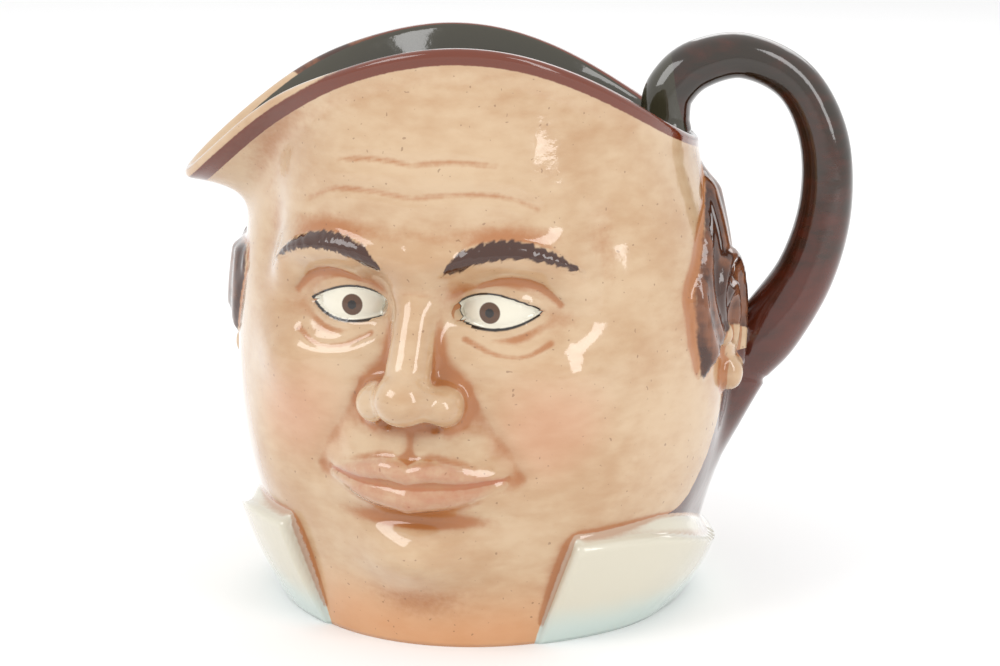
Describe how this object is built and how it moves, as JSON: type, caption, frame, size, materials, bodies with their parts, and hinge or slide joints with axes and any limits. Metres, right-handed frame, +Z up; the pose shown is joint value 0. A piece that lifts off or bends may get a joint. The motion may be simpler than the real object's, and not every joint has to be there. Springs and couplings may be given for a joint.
{
  "type": "toby jug",
  "caption": "Glazed earthenware toby jug modelled as a head, with an open crown for a rim, a pouring spout, a loop handle and a turned-down collar at the foot.",
  "frame": {"origin": "middle of the flat underside, on the surface that the jug stands on", "axes": "+Z up, -Y the way the face looks, +X towards the handle's side of the head"},
  "size_m": [0.1832, 0.1539, 0.165],
  "materials": {
    "glazed_body": "gloss glaze over hand painted colours: warm tan flesh, dark brown hair and handle, pale blue-white collar"
  },
  "bodies": {
    "root": {"jug": "glazed_body"}
  },
  "joints": []
}
